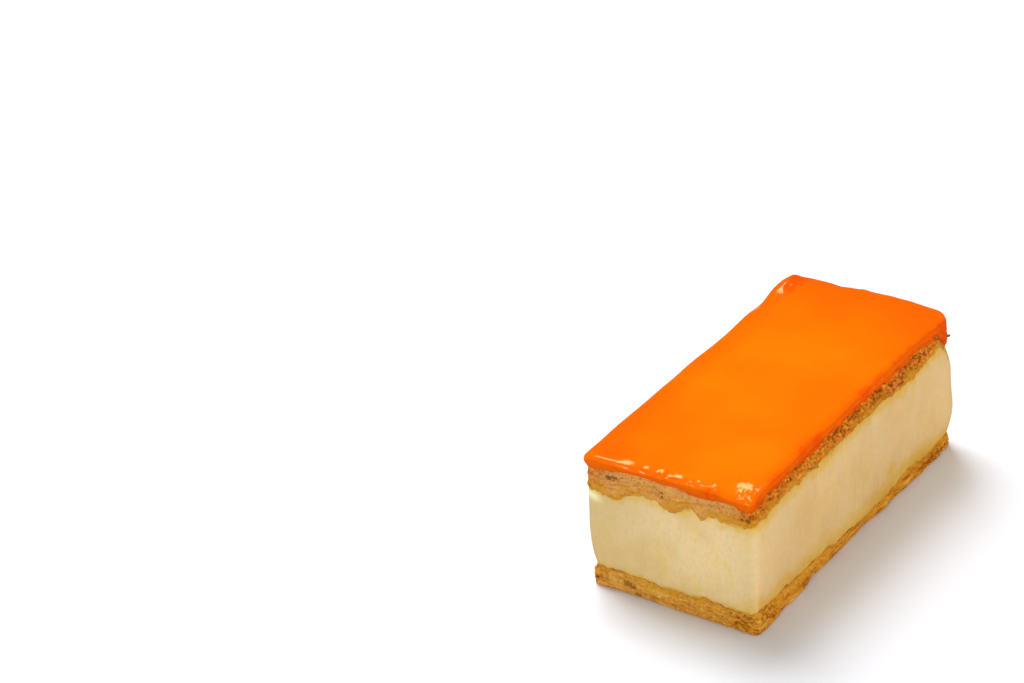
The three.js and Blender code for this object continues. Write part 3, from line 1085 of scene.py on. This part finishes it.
# The colour of the shade painted into crevices
CREVICE_SHADE = paint(118, 62, 10)
BASE_PALE, BASE_GOLDEN, BASE_BROWN = paint(243, 186, 78), paint(226, 153, 38), paint(178, 98, 10)
BASE_SOAKED, BASE_SOAKED_FROM = paint(228, 159, 36), (0.85, 1.15)
LID_PALE, LID_GOLDEN, LID_BROWN = paint(246, 162, 44), paint(223, 126, 14), paint(154, 74, 2)
LID_SOAKED, LID_SOAKED_FROM = paint(215, 145, 16), (0.6, 0.3)

# Colours of the custard
CUSTARD_PALE, CUSTARD_DEEP = paint(241, 213, 159), paint(235, 198, 132)
MOTTLED, YELLOWISH, GRAINY = paint(246, 210, 151), paint(237, 206, 118), paint(222, 188, 132)
# Shade painted on the right side; toward the left of the front, yellower with painted shade
RIGHT_SIDE_SHADE, LEFT_YELLOW_AND_SHADE = paint(220, 184, 125), paint(206, 174, 108)
# Stain colours, which also paint the shade under the lid, and the colour of a painted gleam
STAINED, SOAKED, PAINTED_GLEAM = paint(230, 182, 58), paint(208, 146, 44), paint(255, 246, 190)

# Colours of the icing
ICING_DEEP, ICING_LIGHT = paint(243, 106, 0), paint(248, 120, 0)
ICING_RED, ICING_SHADE = paint(243, 70, 0), paint(208, 80, 6)


def new_material(name, **constants):
    material = bpy.data.materials.new(name)
    material.use_nodes = True
    shader = material.node_tree.nodes["Principled BSDF"]
    for socket, value in constants.items():
        shader.inputs[socket.replace("_", " ")].default_value = value
    return material, Wiring(material.node_tree), shader


def roughen(wiring, shader, height, strength, distance):
    bump = wiring.node("ShaderNodeBump", {"Height": height, "Strength": strength, "Distance": distance})
    wiring.feed(shader.inputs["Normal"], bump.outputs[0])


def baked_pastry(name, pale, golden, brown, soaked, soaked_from):
    """Crust in three tones with crumbs and shade painted into its crevices, which has soaked up custard at
    one border.
    """
    material, wiring, shader = new_material(name, Roughness=0.62, Specular_IOR_Level=0.25)
    tone = wiring.maths("ADD", wiring.attribute("tone"), wiring.blotches(900, amount=0.3, low=0.4, high=0.6))
    colour = wiring.mix(wiring.ramp(tone, 0.05, 0.65), brown, golden)
    colour = wiring.mix(wiring.ramp(tone, 0.75, 1.15), colour, pale)
    # Painted light: the faces toward the front are mixed toward a paler, greyer tone
    painted_front_light = wiring.maths("MULTIPLY", wiring.attribute("painted_front_light"), 0.7)
    colour = wiring.mix(painted_front_light, colour, PAINTED_FRONT_LIGHT)
    share = wiring.maths("ADD", wiring.attribute("share"), wiring.blotches(260, amount=0.35, seed=5))
    wet = wiring.ramp(share, *soaked_from, 0, 0.8)
    colour = wiring.mix(wet, colour, soaked)
    speckled = wiring.blotches(1300, amount=0.4, low=0.56, high=0.66, seed=3)
    colour = wiring.mix(speckled, colour, SPECKLE)
    # Shade painted into the crevices
    painted_shade = wiring.ramp(wiring.attribute("crevice_shade"), 0.2, 0.9, 0, 0.75)
    colour = wiring.mix(painted_shade, colour, CREVICE_SHADE)
    wiring.feed(shader.inputs["Base Color"], colour)
    roughen(wiring, shader, wiring.blotches(1500, seed=7), strength=0.5, distance=0.12 * MM)
    return material


def set_custard():
    material, wiring, shader = new_material(
        "set_custard",
        Roughness=0.5,
        Specular_IOR_Level=0.35,
        Subsurface_Weight=0.2,
        Subsurface_Radius=(2.5 * MM, 1.6 * MM, 0.8 * MM),
        Subsurface_Scale=1.0,
    )
    cloudy = wiring.blotches(70, low=0.35, high=0.68)
    colour = wiring.mix(cloudy, CUSTARD_PALE, CUSTARD_DEEP)
    mottled = wiring.blotches(300, amount=0.7, low=0.4, high=0.7, squash=(1, 1, 0.6), seed=2)
    colour = wiring.mix(mottled, colour, MOTTLED)
    yellowish = wiring.blotches(190, amount=0.5, low=0.5, high=0.7, squash=(1, 1, 0.5), seed=12)
    colour = wiring.mix(yellowish, colour, YELLOWISH)
    grainy = wiring.blotches(1100, amount=0.25, low=0.45, high=0.65, squash=(1, 1, 0.6), seed=14)
    colour = wiring.mix(grainy, colour, GRAINY)
    # Shade painted on the right side
    warm = wiring.maths("MULTIPLY", wiring.attribute("warm"), 0.4)
    colour = wiring.mix(warm, colour, RIGHT_SIDE_SHADE)
    # Toward the left of the front the custard is yellower, and painted darker as shade
    yolky = wiring.maths("MULTIPLY", wiring.attribute("yolky"), 0.55)
    colour = wiring.mix(yolky, colour, LEFT_YELLOW_AND_SHADE)
    # Stains, with the shade painted under the lid
    stain_and_shade = wiring.maths("ADD", wiring.attribute("stain_and_shade"), wiring.blotches(420, amount=0.15, seed=6))
    colour = wiring.mix(wiring.ramp(stain_and_shade, 0.1, 0.6, 0, 0.75), colour, STAINED)
    colour = wiring.mix(wiring.ramp(stain_and_shade, 0.5, 1), colour, SOAKED)
    # A gleam painted as a pale colour
    colour = wiring.mix(wiring.attribute("wet"), colour, PAINTED_GLEAM)
    wiring.feed(shader.inputs["Base Color"], colour)
    damp = wiring.blotches(90, low=0.35, high=0.7, seed=4)
    wiring.feed(shader.inputs["Roughness"], wiring.ramp(damp, 0, 1, 0.38, 0.6))
    grain = wiring.blotches(700, squash=(1, 1, 0.3), seed=9)
    roughen(wiring, shader, grain, strength=0.14, distance=0.1 * MM)
    return material


def orange_icing():
    material, wiring, shader = new_material(
        "orange_icing",
        Roughness=0.35,
        Specular_IOR_Level=0.0,
        Coat_Weight=0.6,
        Coat_Roughness=0.08,
    )
    cloudy = wiring.blotches(26, low=0.3, high=0.7)
    colour = wiring.mix(cloudy, ICING_DEEP, ICING_LIGHT)
    colour = wiring.mix(wiring.attribute("redness"), colour, ICING_RED)
    shade = wiring.maths("MULTIPLY", wiring.attribute("shade"), 0.7)
    colour = wiring.mix(shade, colour, ICING_SHADE)
    wiring.feed(shader.inputs["Base Color"], colour)
    ripples = wiring.blotches(160, low=0.2, high=0.8, seed=8)
    roughen(wiring, shader, ripples, strength=0.2, distance=0.2 * MM)
    return material


def wear(piece, material):
    piece.data.materials.clear()
    piece.data.materials.append(material)


base_crust = baked_pastry("base_crust", BASE_PALE, BASE_GOLDEN, BASE_BROWN, BASE_SOAKED, BASE_SOAKED_FROM)
lid_crust = baked_pastry("lid_crust", LID_PALE, LID_GOLDEN, LID_BROWN, LID_SOAKED, LID_SOAKED_FROM)
wear(base_sheet, base_crust)
wear(base_flakes, base_crust)
wear(lid_sheet, lid_crust)
wear(lid_flakes, lid_crust)
wear(custard_block, set_custard())
wear(icing_coat, orange_icing())

for piece, node, slot in (
    (base_sheet, "base_pastry", "pastry"),
    (custard_block, "custard", "custard"),
    (lid_sheet, "lid_pastry", "pastry"),
    (icing_coat, "icing", "icing"),
):
    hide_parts(node)
    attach(piece, "root")
for piece in (base_flakes, lid_flakes):
    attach(piece, "root")


# Floor, light and camera

FLOOR_SIZE = 4
FLOOR_SEEN = (0.83, 0.84, 0.87, 1)
FLOOR_MIRRORED = (0.12, 0.08, 0.04, 1)

bpy.ops.mesh.primitive_plane_add(size=FLOOR_SIZE)
floor = bpy.context.active_object
floor.name = "floor"
pale_floor, floor_wiring, floor_shader = new_material("pale_floor", Roughness=1.0, Specular_IOR_Level=0.0)
in_gloss = floor_wiring.node("ShaderNodeLightPath").outputs["Is Glossy Ray"]
floor_colour = floor_wiring.mix(in_gloss, FLOOR_SEEN, FLOOR_MIRRORED)
floor_wiring.feed(floor_shader.inputs["Base Color"], floor_colour)
wear(floor, pale_floor)


def softbox(name, direction, distance, size, power, colour, mirrored=False):
    """A square soft light that faces the pastry, and either lights it or is only mirrored in it."""
    lamp = bpy.data.lights.new(name, "AREA")
    lamp.size = size
    lamp.energy = power
    lamp.color = colour
    stand = bpy.data.objects.new(name, lamp)
    bpy.context.scene.collection.objects.link(stand)
    toward = Vector(direction).normalized()
    stand.location = toward * distance
    stand.rotation_mode = "QUATERNION"
    stand.rotation_quaternion = toward.to_track_quat("Z", "Y")
    stand.visible_diffuse = not mirrored
    stand.visible_glossy = mirrored


# Lights, each with its direction, distance and size in metres, power in watts, and colour
softbox("key_light", (0.275, 0.5, 0.868), 1.2, 0.68, 15.6, (0.98, 1, 1.08))
softbox("front_fill", (-0.88, -0.35, 0.4), 1.4, 0.8, 8.4, (0.66, 0.8, 0.85))
softbox("side_fill", (0.3, -0.92, 0.25), 1.4, 0.8, 5.0, (1, 0.85, 0.65))
softbox("front_glint", (0.552, 0.434, 0.712), 1.2, 0.13, 0.75, (1, 0.9, 0.45), mirrored=True)
softbox("corner_glint", (0.55, 0.218, 0.806), 1.2, 0.14, 0.7, (1, 0.9, 0.45), mirrored=True)
softbox("back_glint", (0.8, 0.58, 0.12), 1.2, 0.12, 0.1, (1, 0.85, 0.6), mirrored=True)

# The room: how it lights, how it looks in gloss, and the white that the camera sees behind the floor
ROOM_LIGHT, ROOM_STRENGTH = (1, 0.9, 0.8, 1), 0.385
ROOM_MIRRORED, ROOM_MIRRORED_STRENGTH = (1, 0.6, 0.3, 1), 0.12
BACKDROP, BACKDROP_STRENGTH = (1, 1, 1, 1), 1.0

world = bpy.data.worlds.new("studio")
bpy.context.scene.world = world
world.use_nodes = True
air = Wiring(world.node_tree)
background = world.node_tree.nodes["Background"]
background.inputs["Color"].default_value = ROOM_LIGHT
background.inputs["Strength"].default_value = ROOM_STRENGTH
dim = air.node("ShaderNodeBackground", {"Color": ROOM_MIRRORED, "Strength": ROOM_MIRRORED_STRENGTH})
bright = air.node("ShaderNodeBackground", {"Color": BACKDROP, "Strength": BACKDROP_STRENGTH})
ray = air.node("ShaderNodeLightPath")
room = air.blend(ray.outputs["Is Glossy Ray"], background.outputs[0], dim.outputs[0])
shown = air.blend(ray.outputs["Is Camera Ray"], room, bright.outputs[0])
air.feed(world.node_tree.nodes["World Output"].inputs["Surface"], shown)

bpy.context.scene.view_settings.view_transform = "Standard"

CAMERA_AZIMUTH = math.radians(-58.8377)
CAMERA_ELEVATION = math.radians(33)
CAMERA_DISTANCE = 1.846
SENSOR_WIDTH = 36
FOCAL_LENGTH = 246.1
AIM = Vector((-0.015363, 0.070379, 0.037505))
lens = bpy.data.cameras.new("camera")
lens.sensor_width = SENSOR_WIDTH
lens.lens = FOCAL_LENGTH
camera = bpy.data.objects.new("camera", lens)
bpy.context.scene.collection.objects.link(camera)
back = Vector(
    (
        math.sin(CAMERA_AZIMUTH) * math.cos(CAMERA_ELEVATION),
        -math.cos(CAMERA_AZIMUTH) * math.cos(CAMERA_ELEVATION),
        math.sin(CAMERA_ELEVATION),
    )
)
camera.location = AIM + back * CAMERA_DISTANCE
camera.rotation_mode = "QUATERNION"
camera.rotation_quaternion = back.to_track_quat("Z", "Y")
bpy.context.scene.camera = camera
